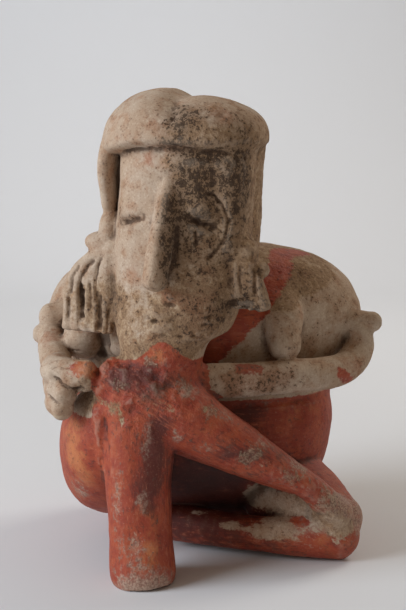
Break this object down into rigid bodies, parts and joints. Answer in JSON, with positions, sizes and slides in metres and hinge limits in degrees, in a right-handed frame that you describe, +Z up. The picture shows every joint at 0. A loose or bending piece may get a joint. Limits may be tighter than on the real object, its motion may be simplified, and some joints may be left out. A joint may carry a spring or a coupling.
{
  "type": "terracotta seated female figure",
  "caption": "Hand-modelled fired clay figure of a seated woman, her long head resting on a raised knee and the other leg folded under a red skirt; stands by its own weight.",
  "frame": {"origin": "on the floor, under the middle of the figure's box", "axes": "+Z up, -Y the way the figure's body faces, +X to its left, which is the viewer's right"},
  "size_m": [0.1622, 0.1454, 0.2108],
  "materials": {
    "fired_clay": "matte, with worn red slip"
  },
  "bodies": {
    "root": {"seated_figure": "fired_clay"}
  },
  "joints": []
}
